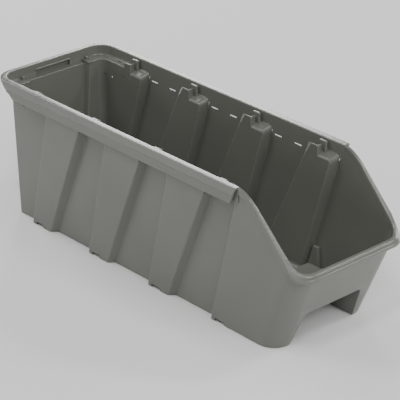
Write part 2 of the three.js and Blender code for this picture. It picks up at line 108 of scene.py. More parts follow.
# ---- openings: stacking notches, view slots, vents and the arch ----
NOTCH_X = (75, 95)
NOTCH_LENGTH = 17
NOTCH_HEIGHT = 5
NOTCH_SETBACK = 8
SLOT_X = (80, 100)
SLOT_LENGTH = 15
SLOT_PITCH = 37
SLOT_SHIFT = 3
SLOT_LOW = 182.3
SLOT_HIGH = 185
VENTS = (257.5, 270.5)
VENT_X = (70, 90)
VENT_LENGTH = 4
VENT_LOW = 171
VENT_HEIGHT = 2.4
ARCH_FOOT = 56.3
ARCH_HALF_TOP = 50.2
ARCH_HEIGHT = 49.2
ARCH_CORNER = 6
ARCH_STEPS = 10
ARCH_LEAN = (ARCH_FOOT - ARCH_HALF_TOP) / (ARCH_HEIGHT - ARCH_CORNER)
ARCH_SOFT = 0.8
ARCH_SHARP = 60
ARCH_MARGIN = 0.4
ARCH_FRONT_REACH = 6
ARCH_CUT_DEPTH = 20
BELOW_BASE = -5

# ---- tunnel and floor ----
TUNNEL_BACK = -171
TUNNEL_FOOT = 0.6
TUNNEL_FRONT = 1.5
TUNNEL_ROUND = 4
TUNNEL_INNER_ROUND = 1.5
TUNNEL_STEPS = 5
# The wedge that trims the tunnel's front end: half its width, its front, its underside and its top.
TUNNEL_TRIM = (90, -400, -10, 80)
FLOOR_FILLET = 6
FLOOR_OVERLAP = 0.2

# ---- rim down the slopes and along the front ----
SLOPE_START = -199.5
SLOPE_END = -284.5
SLOPE = (HEIGHT - FRONT_HEIGHT) / (SLOPE_START - SLOPE_END)
RIM_TOP_ROUND = 20
RIM_LOW_ROUND = 9
RIM_HALF_WIDTH = 95.5
RIM_CORNER = 30
WALL_DROP = 7.5
RIM_SLOPE_STEPS = 34
RIM_BLEND_START = -262
RIM_BLEND_LENGTH = 28
# Each point is (share of the way out from the wall's inner face, shift outwards, drop below the rim).
SLOPE_PROFILE = [(0, 0, 8), (0, 0, 1.2), (0, 0.35, 0.35), (0, 1.2, 0), (0.4, 0, 0), (1, -2.2, 0),
                 (1, -1.36, 0.17), (1, -0.64, 0.64), (1, -0.17, 1.36), (1, 0, 2.2), (1, 0, 4.5), (1, 0, 6.8),
                 (1, -0.5, 7.6), (1, -1.6, 8)]
FRONT_PROFILE = [(0, 0, 8), (0, 0, 1.2), (0, 0.35, 0.35), (0, 1.2, 0), (0.3, 0, 0.4), (0.5, 0, 1.1),
                 (0.56, 0, 2.2), (0.64, 0, 3.0), (0.85, 0, 3.9), (0.96, 0, 4.9), (1, 0, 6.2), (1, 0, 7.6),
                 (1, -0.5, 8.6), (1, -1.6, 9)]

# ---- rails and rear rim: each rounding is (radius, how far its middle is set back) ----
TOP_IN = (1.2, 0.35)
TOP_OUT = (1.4, 0.4)
LOW_OUT = (1, 0.3)
RAIL_FRONT = -186
RAIL_REAR = 280
RAIL_TURN = 272
RAIL_LOW = 185.5
RAIL_MID = 199
RAIL_STEP = 1.2
RAIL_BEND = 0.2
RAIL_ROOT = 93.2
RAIL_SKIN = 2.4
RAIL_TOP_WALL = 3
RAIL_END_SLANT = 11
RAIL_REAR_SLANT = 24
RAIL_END_LIP = 2
CUT_GAP = 0.2
REAR_RIM_HEIGHT = 6
REAR_RIM_CORNER = 28
REAR_RIM_ROOT = 3.3
REAR_RIM_ROOT_LOW = 3.35

# ---- collar, hand slot and ledges ----
COLLAR_REAR = 296.5
COLLAR_WALL = 3.3
COLLAR_CORNER = 26
COLLAR_TOP = 207
COLLAR_BACKSET = 0.9
COLLAR_PLAIN_ROWS = (PANEL_TOP, 192, 195, 198)
COLLAR_CUT = 0.6
COLLAR_JUMP = 0.2
# The hollow fillet on the corner ledge, as shares of its size inwards and upwards.
FILLET = ((1, 0), (0.37, 0.16), (0.13, 0.45), (0, 1))
GRIP_HALF_WIDTH = 30
GRIP_LOW = 192.5
GRIP_HIGH = 201
GRIP_BEAD = 1.5
GRIP_BEAD_OUT = 0.2
GRIP_BEAD_UP = 0.4
GRIP_BEAD_STEPS = 16
GRIP_LIP_LOW = (-33, 297.6, 180)
GRIP_LIP_HIGH = (33, 300, 204.2)
GRIP_LIP_SOFT = 0.8
CORNER_LEDGE = 195
REAR_LEDGE = 192.3
REAR_LEDGE_LEVEL = 190
REAR_LEDGE_BACK = 2
LEDGE_FOOT = 3.0
LEDGE_FRONT = 230
LEDGE_FRONT_FOOT = 256
LEDGE_STEP_X = 51.6
LEDGE_STEP_MARGIN = 3
LEDGE_GAP = 0.05
LEDGE_SOFT = 1.1
DRAIN_X = (84.5, 88.6)
DRAIN_Y = 251
DRAIN_LENGTH = 8

# ---- seats, lips, lugs and pads ----
SEAT_TOP = 189
SEAT_FOOT = 172
SEAT_ROUND = 6.5
SEAT_ROUND_STEPS = 6
SEAT_SIDE_ROUND = INNER_EDGE / math.tan(math.radians(59))
SEAT_EDGE_SHARE = 0.5
SEAT_SLOPE = 6
SEAT_SIDE_OVERLAP = 0.6
SEAT_END_OVERLAP = 0.2
SEAT_END = 1
SEAT_INNER = 76.9
SEAT_OUTER = 90.6
STEM = 20
HOLLOW_BELOW = 8
HOLLOW_FRONT_SPREAD = 9
HOLLOW_REAR_SPREAD = 13
RISER = 216.7
STEP_REAR = 228.8
CHAMFER_FOOT = 236.5
LIP_TOP = 202
LIP_WALL = 2.4
LIP_BELOW = 4
LIP_SOFT = 0.9
LIP_SOFT_ANGLE = 25
POCKET_FLOOR = 191.5
LUG_X = (84.8, 88.8)
LUG_Y = (210, 222.6)
LUG_TOP = 207.5
LUG_SOFT = 1.1
REAR_LUG_LOW = (54.5, 286, 194)
REAR_LUG_HIGH = (58.5, 290, 200)
REAR_LUG_SOFT = 0.9
PAD_FOOT = -160
PAD_FRONT = -155
PAD_TOP = 56
PAD_DEPTH = 4.5
PAD_TO_STEP = 4.3
PAD_OVERLAP = 0.5
PAD_SOFT = 1.2

# ---- plastic ----
DARK = (0.145, 0.148, 0.130, 1)
LIGHT = (0.163, 0.166, 0.147, 1)
# Paler colour and how much of it is mixed in: a painted highlight along narrow rounded outer edges.
EDGE_HIGHLIGHT_COLOUR = (0.30, 0.30, 0.275, 1)
EDGE_HIGHLIGHT_SHARE = 0.15
CLOUDS = (9, 3)
GLOSS = (25, 2)
GRAIN = (1400, 3)
NOISE_LOW = 0.3
NOISE_HIGH = 0.7
GLOSS_SPREAD = 0.015
GRAIN_DEPTH = 0.0004
# Which rounded edges get the painted highlight: their bend in degrees and the narrowest face in millimetres.
HIGHLIGHT_EDGE_BEND = (9, 50)
HIGHLIGHT_EDGE_WIDTH = 1.3
NORMAL_WEIGHT = 80

# ---- studio: the floor in metres, then lamps ----
STAGE_REACH = 9
STAGE_STEPS = 8
STAGE_DROP = 0.0002
STAGE_COLOUR = (0.9, 0.9, 0.9, 1)
STAGE_ROUGHNESS = 0.9
STAGE_SPECULAR = 0.1
AIR = 0.08
LAMP_TARGET = (0, 0, 0.1)
LAMP_DISTANCE = 3.0
# Azimuth from +x and elevation in degrees, power in watts and size in metres.
LAMPS = {
    "key": (225, 34, 20, 1.2),
    "front": (270, 33, 30, 1.2),
    "rear": (90, 36, 28, 1.2),
    "rear_left": (135, 48, 20, 1.2),
    "rear_left_low": (135, 12, 12, 1.2),
    "right_low": (0, 12, 20, 1.2),
    "front_right_low": (315, 12, 9, 1.2),
    "rear_right": (48, 24, 22, 0.9),
    "seat_glint": (286, 57, 6, 0.35),
    "overhead": (219, 60, 16, 0.5),
    "slope_top": (324, 42, 16, 0.4),
}

# ---- camera: metres and degrees ----
CAMERA_PLACE = (-1.53239, -1.70388, 1.21279)
CAMERA_AZIMUTH = -42.2054
CAMERA_ELEVATION = 25.9979
CAMERA_ROLL = 0.0257
CAMERA_LENS = 173.18
CAMERA_SENSOR = 36


# ---- lines of the walls at any height ----
def at(line, z):
    return line[0] + line[1] * z


def panel_x(z):
    return at(PANEL_X, z)


def rib_x(z):
    return at(RIB_X, z)


def panel_rear(k, z):
    return at(PANEL_REAR_Y, z) - PITCH * k


def panel_front(k, z):
    return at(PANEL_FRONT_Y, z) - PITCH * k


def front_y(z):
    return at(FRONT_Y, z)


def rear_corner_y(z):
    return at(REAR_CORNER_Y, z)


def rear_panel_x(z):
    return at(REAR_PANEL_X, z)


def corner_line(z):
    """The line up the rib's inner face that reaches the front end of the corner's ledge."""
    return LEDGE_FRONT_FOOT + (LEDGE_FRONT - LEDGE_FRONT_FOOT) * z / SEAT_TOP


def collar_inner_x(z):
    return panel_x(z) - WALL


# ---- outlines: a chain is a list of (point, radius outside, radius inside, arc steps, edge steps) ----
def flat(x, y, edge_steps=1):
    return (Vector((x, y)), 0, 0, 1, edge_steps)


def proud(x, y):
    """A corner that stands out from the bin."""
    return (Vector((x, y)), OUTER_EDGE, HOLLOW_EDGE, ARC_STEPS, 1)


def hollow(x, y):
    """A corner that is set in towards the goods."""
    return (Vector((x, y)), HOLLOW_EDGE, INNER_EDGE, ARC_STEPS, 1)


def sweep_corner(x, y, radius, edge_steps=1):
    """A large corner whose faces share one centre."""
    return (Vector((x, y)), radius, radius - WALL, CORNER_STEPS, edge_steps)


def offset_chain(points, distance):
    """Moves an open chain to its left by a distance, keeping its corners sharp."""
    def normal(a, b):
        step = (b - a).normalized()
        return Vector((-step.y, step.x))
    moved = []
    for i, point in enumerate(points):
        before = normal(points[i - 1], point) if i else None
        after = normal(point, points[i + 1]) if i + 1 < len(points) else None
        a = before or after
        b = after or before
        moved.append(point + (a + b) * (distance / (1 + a.dot(b))))
    return moved


def corner_arc(before, corner, after, radius, steps):
    """The arc that rounds a corner and is tangent to both of its edges."""
    a = (before - corner).normalized()
    b = (after - corner).normalized()
    half = math.acos(max(-1, min(1, a.dot(b)))) / 2
    middle = (a + b).normalized()
    centre = corner + middle * (radius / math.sin(half))
    start = corner + a * (radius / math.tan(half)) - centre
    turn = math.pi - 2 * half
    if a.cross(b) > 0:
        turn = -turn
    return [centre + Matrix.Rotation(turn * i / steps, 2) @ start for i in range(steps + 1)]


def chain_columns(chain, depth):
    """The rounded columns of a chain, moved inwards by a depth."""
    points = offset_chain([vertex[0] for vertex in chain], depth)
    share = min(max(depth / WALL, 0), 1)
    runs = []
    for i, (_, outside, inside, steps, _) in enumerate(chain):
        radius = outside + (inside - outside) * share
        if radius and 0 < i < len(chain) - 1:
            runs.append(corner_arc(points[i - 1], points[i], points[i + 1], radius, steps))
        else:
            runs.append([points[i]])
    columns = []
    for i, run in enumerate(runs):
        columns += run
        count = chain[i][-1]
        if i + 1 < len(runs):
            start, end = run[-1], runs[i + 1][0]
            columns += [start.lerp(end, j / count) for j in range(1, count)]
    return columns


class Wall:
    """A leaning wall: a chain of columns that moves in a straight line with height."""

    def __init__(self, chain_at):
        self.chain_at = chain_at
        self.cache = {}

    def ends(self, depth):
        """The columns at the base and at full height, a depth inside the outer face."""
        if depth not in self.cache:
            low = chain_columns(self.chain_at(0), depth)
            high = chain_columns(self.chain_at(HEIGHT), depth)
            self.cache[depth] = (low, high)
        return self.cache[depth]

    def count(self):
        return len(self.ends(0)[0])

    def point(self, i, depth, z):
        low, high = self.ends(depth)
        place = low[i].lerp(high[i], z / HEIGHT)
        return Vector((place.x, place.y, z))


def room_chain(z):
    """The outline on the +x side, from the middle of the front to the middle of the rear."""
    x, inn, y = panel_x(z), rib_x(z), front_y(z)
    chain = [flat(0, y, FLAT_FRONT_COLUMNS), sweep_corner(x, y, FRONT_CORNER, LEG_COLUMNS)]
    chain += [flat(x, RAIL_FRONT - HAIR), flat(x, RAIL_FRONT)]
    for k in range(PANEL_COUNT - 1, -1, -1):
        if k < PANEL_COUNT - 1:
            chain += [hollow(inn, panel_front(k, z) - PANEL_STEP_FRONT), proud(x, panel_front(k, z))]
        chain += [proud(x, panel_rear(k, z)), hollow(inn, panel_rear(k, z) + PANEL_STEP_REAR)]
    chain += [flat(inn, corner_line(z) - HAIR), flat(inn, corner_line(z))]
    rear, step = rear_corner_y(z), rear_panel_x(z)
    recess = rear + REAR_PANEL_DEPTH
    chain += [sweep_corner(inn, rear, REAR_CORNER), hollow(step + REAR_PANEL_SLANT, rear)]
    chain += [proud(step, recess)]
    chain += [flat(step - STEP_BLOCK, recess), flat(step - STEP_BLOCK - HAIR, recess), flat(0, recess)]
    return chain


ROOM = Wall(room_chain)


# ---- the rim's side profile: level, down the slope, then level along the front ----
def rim_height(y):
    """Height of the rim above any point, with both bends rounded."""
    def soft(distance, reach):
        if distance >= reach:
            return distance
        if distance <= -reach:
            return 0
        return (distance + reach) ** 2 / (4 * reach)
    fall = soft(SLOPE_START - y, RIM_TOP_ROUND) - soft(SLOPE_END - y, RIM_LOW_ROUND)
    return HEIGHT - SLOPE * fall


def rim_secant(y):
    """How much longer a drop square to the rim is when it is measured straight down."""
    step = 0.5
    slope = (rim_height(y + step) - rim_height(y - step)) / (2 * step)
    return math.sqrt(1 + slope * slope)


def height_under_rim(i, depth, drop):
    """Height at which a column of the wall meets the surface a drop below the rim, by halving."""
    halvings = 30
    low, high = FRONT_HEIGHT / 2, HEIGHT
    for _ in range(halvings):
        z = (low + high) / 2
        y = ROOM.point(i, depth, z).y
        if z < rim_height(y) - drop * rim_secant(y):
            low = z
        else:
            high = z
    return low


# ---- meshes ----
def make_mesh(name, points, faces, side=1):
    vertices = [(p[0] * side * MM, p[1] * MM, p[2] * MM) for p in points]
    turned = faces if side > 0 else [tuple(reversed(face)) for face in faces]
    mesh = bpy.data.meshes.new(name)
    mesh.from_pydata(vertices, [], turned)
    work = bmesh.new()
    work.from_mesh(mesh)
    bmesh.ops.remove_doubles(work, verts=work.verts, dist=WELD)
    bmesh.ops.recalc_face_normals(work, faces=work.faces)
    work.to_mesh(mesh)
    work.free()
    piece = bpy.data.objects.new(name, mesh)
    bpy.context.scene.collection.objects.link(piece)
    return piece


def make_rows(name, rows, side=1):
    """A closed solid from rows that each run round one section, with both ends capped."""
    count = len(rows[0])
    faces = []
    for i in range(len(rows) - 1):
        for j in range(count):
            k = (j + 1) % count
            faces.append((i * count + j, i * count + k, (i + 1) * count + k, (i + 1) * count + j))
    faces.append(tuple(range(count - 1, -1, -1)))
    last = (len(rows) - 1) * count
    faces.append(tuple(range(last, last + count)))
    return make_mesh(name, [p for row in rows for p in row], faces, side)


def make_loop(name, columns):
    """A closed band: the columns go round the bin and each one runs round the wall's section."""
    total, count = len(columns), len(columns[0])
    faces = []
    for i in range(total):
        n = (i + 1) % total
        for j in range(count):
            k = (j + 1) % count
            faces.append((i * count + j, i * count + k, n * count + k, n * count + j))
    return make_mesh(name, [p for column in columns for p in column], faces)


def make_prism(name, outline, low, high, place, side=1):
    """An outline swept between two stations; place(u, v, station) gives the point in space."""
    return make_rows(name, [[place(u, v, station) for u, v in outline] for station in (low, high)], side)


def along_x(u, v, station):
    return (station, u, v)


def along_y(u, v, station):
    return (u, station, v)


def along_z(u, v, station):
    return (u, v, station)


def make_box(low, high, side=1, name="cutter"):
    outline = [(low[0], low[1]), (high[0], low[1]), (high[0], high[1]), (low[0], high[1])]
    return make_prism(name, outline, low[2], high[2], along_z, side)


def mirrored(rows):
    """The rows of the +x side carried on round the -x side."""
    return [[(-p[0], p[1], p[2]) for p in row] for row in reversed(rows)]


def apply_modifiers(piece):
    graph = bpy.context.evaluated_depsgraph_get()
    mesh = bpy.data.meshes.new_from_object(piece.evaluated_get(graph))
    piece.modifiers.clear()
    piece.data = mesh
    mesh.name = piece.name


def cut(piece, cutters):
    """Takes each cutter out of a piece and throws the cutter away."""
    for cutter in cutters:
        boolean = piece.modifiers.new("cut", "BOOLEAN")
        boolean.operation = "DIFFERENCE"
        boolean.solver = "EXACT"
        boolean.object = cutter
    apply_modifiers(piece)
    for cutter in cutters:
        bpy.data.objects.remove(cutter)


def soften(piece, width, angle=SOFT_ANGLE):
    """Rounds every edge that bends by more than an angle."""
    bevel = piece.modifiers.new("soft_edges", "BEVEL")
    bevel.width = width * MM
    bevel.segments = SOFT_STEPS
    bevel.limit_method = "ANGLE"
    bevel.angle_limit = math.radians(angle)
    apply_modifiers(piece)


def rounded_box(name, low, high, radius, side=1):
    piece = make_box(low, high, side, name)
    soften(piece, radius)
    return piece


def mark_highlight_edges(mesh):
    """Marks the narrow faces of rounded outer edges, where a paler colour is laid on as a painted highlight.
    """
    work = bmesh.new()
    work.from_mesh(mesh)
    values = []
    low, high = (math.radians(bend) for bend in HIGHLIGHT_EDGE_BEND)
    for face in work.faces:
        bends = 0
        for e in face.edges:
            if len(e.link_faces) == 2 and e.is_convex and low < e.calc_face_angle(0) < high:
                bends += 1
        narrow = min(e.calc_length() for e in face.edges) < HIGHLIGHT_EDGE_WIDTH * MM
        values.append(1.0 if bends >= 2 and narrow else 0.0)
    work.free()
    attribute = mesh.attributes.new("painted_highlight_edge", "FLOAT", "FACE")
    attribute.data.foreach_set("value", values)


def finish_piece(piece, nodes, slot, smooth_angle=SMOOTH_ANGLE):
    """Smooth shading that keeps real edges, the slot's material, and the nodes that the piece stands for."""
    piece.data.shade_smooth()
    piece.data.set_sharp_from_angle(angle=math.radians(smooth_angle))
    # Marks the rounded edges that get the painted highlight.
    mark_highlight_edges(piece.data)
    even = piece.modifiers.new("even_normals", "WEIGHTED_NORMAL")
    even.keep_sharp = True
    even.weight = NORMAL_WEIGHT
    apply_modifiers(piece)
    piece.data.materials.clear()
    piece.data.materials.append(MATERIALS[slot])
    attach(piece, "root")
    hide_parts(*nodes)


# ---- materials ----
def add_noise(tree, place, settings):
    """Cloudy noise in the object's own space, from a (scale, detail) pair."""
    node = tree.nodes.new("ShaderNodeTexNoise")
    node.inputs["Scale"].default_value, node.inputs["Detail"].default_value = settings
    tree.links.new(place.outputs["Object"], node.inputs["Vector"])
    return node.outputs["Fac"]


def add_mottle(tree, value):
    """Two close greys mixed by the noise."""
    ramp = tree.nodes.new("ShaderNodeValToRGB")
    first, second = ramp.color_ramp.elements
    first.position, first.color = NOISE_LOW, DARK
    second.position, second.color = NOISE_HIGH, LIGHT
    tree.links.new(value, ramp.inputs["Fac"])
    return ramp.outputs["Color"]


def add_painted_highlight(tree, colour):
    """Pales the colour on the faces that mark_highlight_edges picked, as a painted highlight."""
    marked = tree.nodes.new("ShaderNodeAttribute")
    marked.attribute_name = "painted_highlight_edge"
    highlight_share = tree.nodes.new("ShaderNodeMath")
    highlight_share.operation = "MULTIPLY"
    highlight_share.inputs[1].default_value = EDGE_HIGHLIGHT_SHARE
    tree.links.new(marked.outputs["Fac"], highlight_share.inputs[0])
    mix = tree.nodes.new("ShaderNodeMix")
    mix.data_type = "RGBA"
    sockets = {socket.name: socket for socket in mix.inputs if socket.type == "RGBA"}
    sockets["B"].default_value = EDGE_HIGHLIGHT_COLOUR
    tree.links.new(highlight_share.outputs["Value"], mix.inputs["Factor"])
    tree.links.new(colour, sockets["A"])
    return [socket for socket in mix.outputs if socket.type == "RGBA"][0]


def add_gloss(tree, value, rough):
    """Roughness that wanders a little round its mean."""
    node = tree.nodes.new("ShaderNodeMapRange")
    node.inputs["From Min"].default_value = NOISE_LOW
    node.inputs["From Max"].default_value = NOISE_HIGH
    node.inputs["To Min"].default_value = rough - GLOSS_SPREAD
    node.inputs["To Max"].default_value = rough + GLOSS_SPREAD
    tree.links.new(value, node.inputs["Value"])
    return node.outputs["Result"]


def plastic(name, rough, grain):
    """Satin moulded plastic: mottled grey, slightly uneven gloss, fine grain and a painted highlight on
    rounded edges.
    """
    material = bpy.data.materials.new(name)
    material.use_nodes = True
    tree = material.node_tree
    shader = tree.nodes["Principled BSDF"]
    place = tree.nodes.new("ShaderNodeTexCoord")
    colour = add_painted_highlight(tree, add_mottle(tree, add_noise(tree, place, CLOUDS)))
    tree.links.new(colour, shader.inputs["Base Color"])
    gloss = add_gloss(tree, add_noise(tree, place, GLOSS), rough)
    tree.links.new(gloss, shader.inputs["Roughness"])
    bump = tree.nodes.new("ShaderNodeBump")
    bump.inputs["Strength"].default_value = grain
    bump.inputs["Distance"].default_value = GRAIN_DEPTH
    tree.links.new(add_noise(tree, place, GRAIN), bump.inputs["Height"])
    tree.links.new(bump.outputs["Normal"], shader.inputs["Normal"])
    return material


MATERIALS = {
    "shell": plastic("grey_shell", 0.29, 0.03),
    "base": plastic("grey_base", 0.34, 0.04),
    "rim": plastic("grey_rim", 0.26, 0.02),
}


# ---- walls ----
def wall_top(i, depth):
    """Height at which a column of the wall ends, hidden by the rim, the collar, a seat or a ledge."""
    place = ROOM.point(i, depth, RIB_TOP)
    if place.y < RAIL_FRONT - HAIR / 2:
        return height_under_rim(i, depth, WALL_DROP)
    if place.y > REAR_PANEL_LINE and place.x < rear_panel_x(RIB_TOP) - STEP_BLOCK - HAIR / 2:
        return REAR_PANEL_TOP
    if place.y > REAR_PANEL_LINE and place.x < LEDGE_STEP_X + STEP_REACH:
        return STEP_TOP
    if place.x > panel_x(RIB_TOP) - depth - SLACK:
        return PANEL_TOP
    return CORNER_TOP if place.y > corner_line(RIB_TOP) - HAIR / 2 else RIB_TOP


def notch_cutter(k, side):
    rear = panel_rear(k, 0) - NOTCH_SETBACK
    low = (NOTCH_X[0], rear - NOTCH_LENGTH, BELOW_BASE)
    return make_box(low, (NOTCH_X[1], rear, NOTCH_HEIGHT), side)


def slot_cutters(k, side):
    middle = (panel_front(k, SLOT_LOW) + panel_rear(k, SLOT_LOW)) / 2 + SLOT_SHIFT
    cutters = []
    for end in (-1, 1):
        centre = middle + end * SLOT_PITCH / 2
        low = (SLOT_X[0], centre - SLOT_LENGTH / 2, SLOT_LOW)
        cutters.append(make_box(low, (SLOT_X[1], centre + SLOT_LENGTH / 2, SLOT_HIGH), side))
    return cutters


def vent_cutters(side):
    half = VENT_LENGTH / 2
    top = VENT_LOW + VENT_HEIGHT
    return [make_box((VENT_X[0], y - half, VENT_LOW), (VENT_X[1], y + half, top), side) for y in VENTS]


def wall_cutters():
    cutters = [arch_cutter(0, front_y(0) + ARCH_CUT_DEPTH)]
    for side in (-1, 1):
        cutters += vent_cutters(side)
        for k in range(PANEL_COUNT):
            cutters.append(notch_cutter(k, side))
            if k < PANEL_COUNT - 1:
                cutters += slot_cutters(k, side)
    return cutters


def wall_nodes():
    """Every packed section that the one band of wall stands for."""
    nodes = ["front_wall", "rear_panel"]
    for hand in ("left", "right"):
        nodes += [f"{hand}_front_leg", f"{hand}_rear_corner"]
        nodes += [f"{hand}_panel_{k + 1}" for k in range(PANEL_COUNT)]
        nodes += [f"{hand}_rib_{k}" for k in range(1, PANEL_COUNT)]
    return nodes


def wall_column(i):
    """One section of the wall: down the outer face, round the foot and up the inner face."""
    radius = WALL / 2
    turns = [math.pi * j / SMALL_STEPS for j in range(SMALL_STEPS + 1)]
    column = [(0, wall_top(i, 0) * share) for share in reversed(ROWS_UP)]
    column += [(radius - radius * math.cos(a), radius - radius * math.sin(a)) for a in turns]
    column += [(WALL, wall_top(i, WALL) * share) for share in ROWS_UP]
    return [ROOM.point(i, depth, z) for depth, z in column]


def build_walls():
    """One closed band of wall round the bin, with its arch, notches, view slots and vents cut out."""
    right = [wall_column(i) for i in range(ROOM.count())]
    piece = make_loop("wall_band", right + mirrored(right[1:-1]))
    cut(piece, wall_cutters())
    soften_arch(piece)
    finish_piece(piece, wall_nodes(), "shell")


def build_fin(hand, side):
    """The side wall carried on behind the rear corner, with a rounded rear edge."""
    radius = WALL / 2
    turns = [math.pi * i / SMALL_STEPS for i in range(SMALL_STEPS + 1)]
    rows = []
    for i in range(FIN_ROWS + 1):
        z = PANEL_TOP * i / FIN_ROWS
        x, rear = rib_x(z), at(FIN_REAR, z)
        root = rear_corner_y(z) - REAR_CORNER
        row = [(x - WALL, root, z), (x - HAIR, root, z)]
        row += [(x - radius + radius * math.cos(a), rear - radius + radius * math.sin(a), z) for a in turns]
        rows.append(row)
    fin = make_rows(f"{hand}_rear_fin", rows, side)
    finish_piece(fin, [f"{hand}_rear_corner"], "shell")


# ---- arch and tunnel ----
def arch_profile(grow, foot):
    """The arch from its right foot over the top to its left foot, as (x, z) pairs."""
    radius = ARCH_CORNER + grow
    centre_x, centre_z = ARCH_HALF_TOP - ARCH_CORNER, ARCH_HEIGHT - ARCH_CORNER
    half = [(ARCH_FOOT + grow - ARCH_LEAN * foot, foot)]
    for i in range(ARCH_STEPS + 1):
        a = math.pi / 2 * i / ARCH_STEPS
        half.append((centre_x + radius * math.cos(a), centre_z + radius * math.sin(a)))
    return half + [(-x, z) for x, z in reversed(half)]


def arch_cutter(grow, back):
    """The arch's opening as a solid that reaches from in front of the bin to a station behind it."""
    return make_prism("cutter", arch_profile(grow, BELOW_BASE), -HALF_LENGTH - REACH, back, along_y)


def soften_arch(piece):
    """Rounds the edges of the arch in the front wall."""
    work = bmesh.new()
    work.from_mesh(piece.data)
    sharp = math.radians(ARCH_SHARP)
    chosen = []
    for e in work.edges:
        a, b = e.verts[0].co / MM, e.verts[1].co / MM
        front = max(a.y, b.y) < front_y(0) + ARCH_FRONT_REACH
        inside = max(abs(a.x), abs(b.x)) < ARCH_FOOT + ARCH_MARGIN
        low = max(a.z, b.z) < ARCH_HEIGHT + ARCH_MARGIN
        if front and inside and low and e.calc_face_angle(0) > sharp:
            chosen.append(e)
    bmesh.ops.bevel(work, geom=chosen, offset=ARCH_SOFT * MM, segments=SOFT_STEPS,
                    profile=0.5, affect="EDGES")
    work.to_mesh(piece.data)
    work.free()


def tunnel_rows(grow, foot, front, back, radius):
    """The arch swept from front to back, with its back edge rounded."""
    stations = [(0, front), (0, back - radius)]
    for i in range(1, TUNNEL_STEPS + 1):
        a = math.pi / 2 * i / TUNNEL_STEPS
        stations.append((radius - radius * math.cos(a), back - radius + radius * math.sin(a)))
    return [[(x, y, z) for x, z in arch_profile(grow - inset, foot)] for inset, y in stations]


def front_face(z):
    """Where the tunnel starts behind the leaning front wall's outer face."""
    return front_y(z) + TUNNEL_FRONT


def build_tunnel():
    """The skin over the arch's tunnel, trimmed flush behind the front wall's outer face."""
    rows = tunnel_rows(WALL, TUNNEL_FOOT, front_face(ARCH_HEIGHT), TUNNEL_BACK + WALL, TUNNEL_ROUND)
    tunnel = make_rows("arch_tunnel_skin", rows)
    far = -HALF_LENGTH - REACH
    room = make_rows("cutter", tunnel_rows(0, BELOW_BASE, far, TUNNEL_BACK, TUNNEL_INNER_ROUND))
    half, near, low, high = TUNNEL_TRIM
    outline = [(near, low), (front_face(low), low), (front_face(high), high), (near, high)]
    front = make_prism("cutter", outline, -half, half, along_x)
    cut(tunnel, [room, front])
    finish_piece(tunnel, ["arch_tunnel"], "base")


# ---- floor ----
def build_floor():
    """The floor plate with a hollow fillet all round, open over the tunnel."""
    edge = WALL - FLOOR_OVERLAP
    rings = [(edge, FLOOR_TOP - WALL), (edge, FLOOR_TOP + FLOOR_FILLET)]
    for i in range(1, SMALL_STEPS + 1):
        a = math.pi / 2 * i / SMALL_STEPS
        depth = WALL + FLOOR_FILLET * (1 - math.cos(a))
        rings.append((depth, FLOOR_TOP + FLOOR_FILLET * (1 - math.sin(a))))
    rows = []
    for depth, z in rings:
        ring = [ROOM.point(i, depth, z) for i in range(ROOM.count())]
        rows.append(ring + [Vector((-p.x, p.y, p.z)) for p in reversed(ring[1:-1])])
    piece = make_rows("floor_skin", rows)
    cut(piece, [arch_cutter(edge, TUNNEL_BACK + edge)])
    finish_piece(piece, ["floor_plate"], "base")


# ---- rim ----
def rim_surface_point(i, outer, front_share, entry):
    """A point of the rim: a share of the way out from the wall's inner face, a shift and a drop."""
    rounds = 12
    (s0, m0, d0), (s1, m1, d1) = entry
    share = s0 + (s1 - s0) * front_share
    shift = m0 + (m1 - m0) * front_share
    drop = d0 + (d1 - d0) * front_share
    z = rim_height(outer.y)
    for _ in range(rounds):
        inner = ROOM.point(i, WALL, z).to_2d()
        way = (outer - inner).normalized()
        place = inner.lerp(outer, share) + way * shift
        z = rim_height(place.y) - drop * rim_secant(place.y)
    return (place.x, place.y, z)


def rim_stations():
    """Columns of the wall and the rim's outer point over each, from the front's middle round its corner."""
    stations = []
    centre = Vector((RIM_HALF_WIDTH - RIM_CORNER, RIM_CORNER - HALF_LENGTH))
    for i in range(FLAT_FRONT_COLUMNS):
        stations.append((i, Vector((centre.x * i / FLAT_FRONT_COLUMNS, -HALF_LENGTH))))
    for j in range(CORNER_STEPS + 1):
        a = math.pi / 2 * j / CORNER_STEPS - math.pi / 2
        outer = centre + RIM_CORNER * Vector((math.cos(a), math.sin(a)))
        stations.append((FLAT_FRONT_COLUMNS + j, outer))
    return stations


def rim_row(i, outer):
    """A section of the rim, blended from the slope's profile to the front's."""
    front_share = min(max((RIM_BLEND_START - outer.y) / RIM_BLEND_LENGTH, 0), 1)
    return [rim_surface_point(i, outer, front_share, e) for e in zip(SLOPE_PROFILE, FRONT_PROFILE)]


def slope_rows():
    """Rows up the slope, where the wall's inner face and the rim's outer edge are both straight."""
    rows = []
    start = RIM_CORNER - HALF_LENGTH
    for j in range(1, RIM_SLOPE_STEPS + 1):
        y = start + (RAIL_FRONT - start) * j / RIM_SLOPE_STEPS
        row = []
        for share, shift, drop in SLOPE_PROFILE:
            z = rim_height(y) - drop * rim_secant(y)
            inner = collar_inner_x(z)
            row.append((inner + (RIM_HALF_WIDTH - inner) * share + shift, y, z))
        rows.append(row)
    return rows


def build_rim():
    right = [rim_row(i, outer) for i, outer in rim_stations()] + slope_rows()
    piece = make_rows("front_rim_bead", mirrored(right[1:]) + right)
    finish_piece(piece, ["left_slope_rim", "front_rim", "right_slope_rim"], "rim", RIM_SMOOTH_ANGLE)


# ---- rails and rear rim ----
UP, DOWN, OUT, IN = (0, 1), (0, -1), (1, 0), (-1, 0)


def eased(x, z, back, ahead, size):
    """Three points that round a corner, coming from the way back and going on ahead."""
    radius, middle = size
    return [(x + back[0] * radius, z + back[1] * radius),
            (x + (back[0] + ahead[0]) * middle, z + (back[1] + ahead[1]) * middle),
            (x + ahead[0] * radius, z + ahead[1] * radius)]


